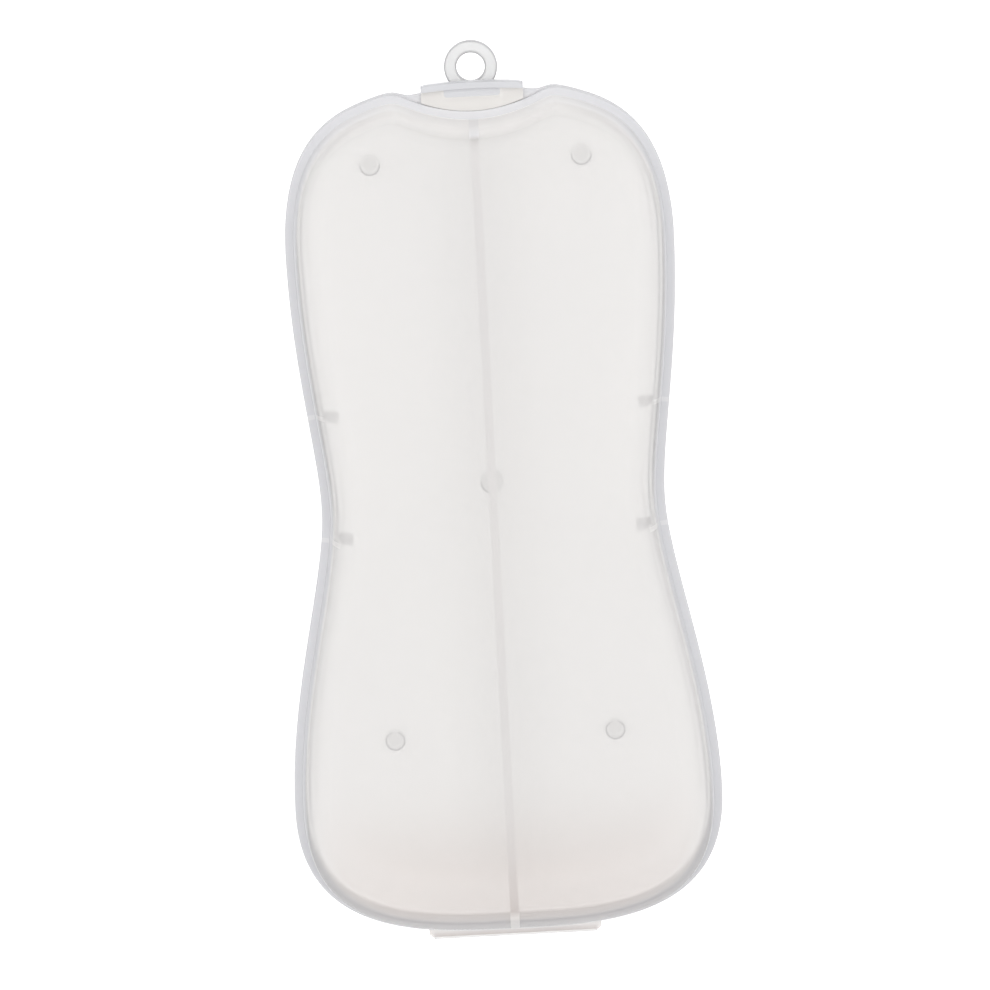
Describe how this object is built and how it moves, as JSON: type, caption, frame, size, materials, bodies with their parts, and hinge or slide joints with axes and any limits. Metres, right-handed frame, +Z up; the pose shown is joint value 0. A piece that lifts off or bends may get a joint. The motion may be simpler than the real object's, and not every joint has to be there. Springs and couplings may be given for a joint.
{
  "type": "baby utensil case",
  "caption": "Waisted clamshell case in frosted plastic with a centre divider, a folded web hinge, a sprung latch tab and a hang ring.",
  "frame": {"origin": "middle of the object's footprint, on the plane that its feet stand on", "axes": "+Z up, +Y along the case towards the hang ring, +X to the right seen from above with the ring at the far end"},
  "size_m": [0.0868, 0.1852, 0.026],
  "materials": {
    "base_plastic": "frosted translucent polypropylene",
    "lid_plastic": "frosted translucent polypropylene",
    "hinge_plastic": "thin frosted polypropylene",
    "divider_plastic": "frosted translucent polypropylene, seen on edge",
    "rib_plastic": "frosted translucent polypropylene, seen on edge",
    "ring_plastic": "clearer, smoother polypropylene",
    "latch_plastic": "frosted translucent polypropylene"
  },
  "bodies": {
    "base": {"base_shell": "base_plastic", "hinge_web": "hinge_plastic", "center_divider": "divider_plastic", "foot_ring_left": "base_plastic", "foot_ring_right": "base_plastic", "foot_hinge_left": "base_plastic", "foot_hinge_right": "base_plastic", "hang_ring": "ring_plastic"},
    "lid": {"lid_shell": "lid_plastic", "rib_ring_left": "rib_plastic", "rib_ring_right": "rib_plastic", "rib_hinge_left": "rib_plastic", "rib_hinge_right": "rib_plastic"},
    "latch": {"latch_tab": "latch_plastic"}
  },
  "joints": [
    {"name": "lid_hinge", "type": "hinge", "parent": "base", "child": "lid", "pos_m": [0, -0.0922, 0.01432], "axis": [1, 0, 0], "range_deg": [0, 180], "deforming": ["hinge_web"]},
    {"name": "latch_flex", "type": "hinge", "parent": "lid", "child": "latch", "pos_m": [0, 0.07928, 0.01555], "axis": [1, 0, 0], "range_deg": [0, 12], "stiffness_Nm_per_rad": 0.05}
  ]
}
